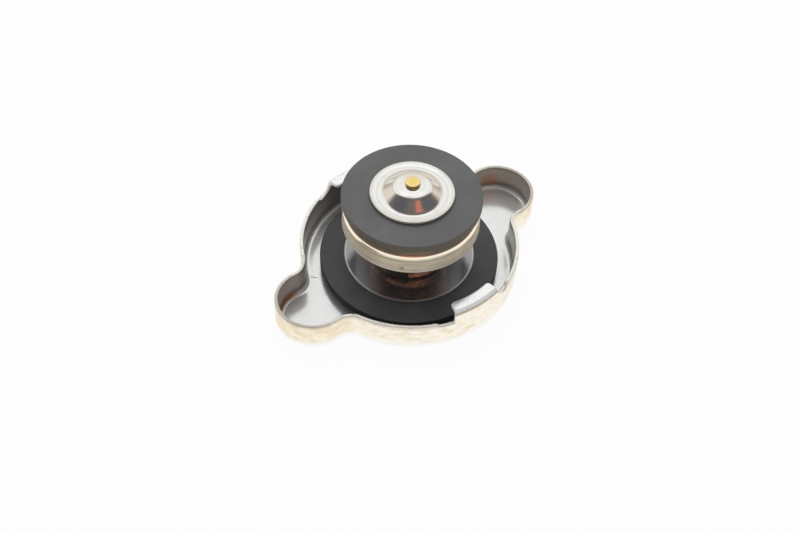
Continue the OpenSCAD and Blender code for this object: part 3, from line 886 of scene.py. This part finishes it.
floor_mesh = bmesh.new()
bmesh.ops.create_grid(floor_mesh, x_segments=1, y_segments=1, size=floor_half)
floor = piece("studio_floor", floor_mesh)
floor_paint, start = bare_material("floor_white")
matt = start.node("BsdfDiffuse", None, {"Color": floor_matt})
faded = start.node("MixShader", None, {
    0: backdrop_share(start) * (1 - shadow_share), 1: matt, 2: glow_in(start, pure_white)})
start.node("OutputMaterial", None, {"Surface": faded})
floor.data.materials.append(floor_paint)

world = bpy.data.worlds.new("studio_world")
world.use_nodes = True
bpy.context.scene.world = world
sky = world.node_tree.nodes["Background"]
sky.inputs["Color"].default_value = pure_white
sky_strength = backdrop_share(Signal(world.node_tree)) * (1 - ambient) + ambient
world.node_tree.links.new(sky_strength.socket, sky.inputs["Strength"])

# The room is a half sphere that only mirrored rays see, painted by direction.
room_radius = 0.5
room_slate = (0.080, 0.085, 0.10, 1)
room_umber = (0.16, 0.13, 0.11, 1)
room_charcoal = (0.10, 0.10, 0.11, 1)
room_brown = (0.14, 0.11, 0.09, 1)
room_foot = (0.11, 0.085, 0.075, 1)
room_red = (0.62, 0.20, 0.12, 1)
wall_foot = (0.42, 0.38, 0.33, 1)
wall_cream = (0.80, 0.73, 0.62, 1)
wall_white = (0.94, 0.95, 0.94, 1)
ceiling_white = (1.2, 1.2, 1.2, 1)
room_mesh = bmesh.new()
bmesh.ops.create_uvsphere(room_mesh, u_segments=64, v_segments=32, radius=room_radius)
bmesh.ops.delete(room_mesh, geom=[v for v in room_mesh.verts if v.co.z < -mm], context="VERTS")
room = piece("mirrored_room", room_mesh)
room_paint, start = bare_material("mirrored_room")
spot = start.node("TexCoord", None, None, "Object")
ahead = spot.along(toward(camera_azimuth, 0, 1 / room_radius))
right = spot.along(toward(camera_azimuth + 90, 0, 1 / room_radius))
edge = spot.along(toward(camera_azimuth + 8, 0, 1 / room_radius))
up = spot.part(2) / room_radius
shade = right.between(-0.5, 0.1).tint(room_slate, room_umber)
shade = right.between(0.4, 0.6).tint(shade, room_charcoal)
shade = edge.between(0.12, -0.08).tint(shade, room_brown)
shade = up.between(0.27, 0.20).tint(shade, room_foot)
red_bar = right.between(0.15, 0.25) * right.between(0.52, 0.38)
red_bar = red_bar * up.between(0.60, 0.68) * up.between(0.90, 0.81) * ahead.between(0.1, 0.2)
shade = red_bar.tint(shade, room_red)
bright = up.between(0.05, 0.27).tint(wall_foot, wall_cream)
bright = up.between(0.40, 0.62).tint(bright, wall_white)
bright = up.between(0.80, 0.97).tint(bright, ceiling_white)
painted = edge.between(-0.08, -0.40).tint(shade, bright)
start.node("OutputMaterial", None, {"Surface": glow_in(start, painted)})
room.data.materials.append(room_paint)

# A low screen stands round the front of the table. The cup's shoulder mirrors it as a thin copper line.
screen_radius = 0.1
screen_height = 0.024
screen_angle = 220
screen_brown = (0.15, 0.125, 0.115, 1)
screen_copper = (0.36, 0.18, 0.12, 1)
screen_mesh = bmesh.new()
screen_end = toward(camera_azimuth - screen_angle / 2, 0, screen_radius)
screen_line, screen_edges = chain(screen_mesh, [screen_end, screen_end + Vector((0, 0, screen_height))])
bmesh.ops.spin(screen_mesh, geom=screen_line + screen_edges, cent=(0, 0, 0), axis=(0, 0, 1),
               angle=radians(screen_angle), steps=64)
screen = piece("mirrored_screen", screen_mesh)
screen_paint, start = bare_material("mirrored_screen")
spot = start.node("TexCoord", None, None, "Object")
side = spot.along(toward(camera_azimuth + 90, 0, 1 / screen_radius))
copper = side.between(-0.30, -0.05) * side.between(0.50, 0.20)
painted = copper.tint(screen_brown, screen_copper)
start.node("OutputMaterial", None, {"Surface": glow_in(start, painted)})
screen.data.materials.append(screen_paint)
for card in (room, screen):
    card.visible_camera = False
    card.visible_diffuse = False
    card.visible_transmission = False
    card.visible_shadow = False

lamp_azimuth = 150
lamp_elevation = 66
lamp_distance = 0.6
lamp = bpy.data.lights.new("overhead_softbox", "AREA")
lamp.shape = "SQUARE"
lamp.size = 0.6
lamp.energy = 1.3
lamp_place = toward(lamp_azimuth, lamp_elevation, lamp_distance)
lamp_turn = lamp_place.to_track_quat("Z", "Y").to_matrix().to_4x4()
softbox = bpy.data.objects.new("overhead_softbox", lamp)
softbox.matrix_world = Matrix.Translation(lamp_place) @ lamp_turn
softbox.visible_glossy = False
bpy.context.scene.collection.objects.link(softbox)


# Camera.
# It stands where the photograph was taken from and looks down at the cap.
# The photograph is turned a little, so the camera has a small roll.
camera_place = (-0.11906, -0.13636, 0.21162)
camera_elevation = 49.62
camera_roll = 2.64
lens = bpy.data.cameras.new("photo_camera")
lens.lens = 52.2
lens.sensor_width = 36
lens.clip_start = 0.01
camera = bpy.data.objects.new("photo_camera", lens)
camera.matrix_world = (
    Matrix.Translation(camera_place)
    @ Matrix.Rotation(radians(camera_azimuth), 4, "Z")
    @ Matrix.Rotation(radians(90 - camera_elevation), 4, "X")
    @ Matrix.Rotation(radians(camera_roll), 4, "Z"))
bpy.context.scene.collection.objects.link(camera)
bpy.context.scene.camera = camera
bpy.context.scene.view_settings.view_transform = "Standard"
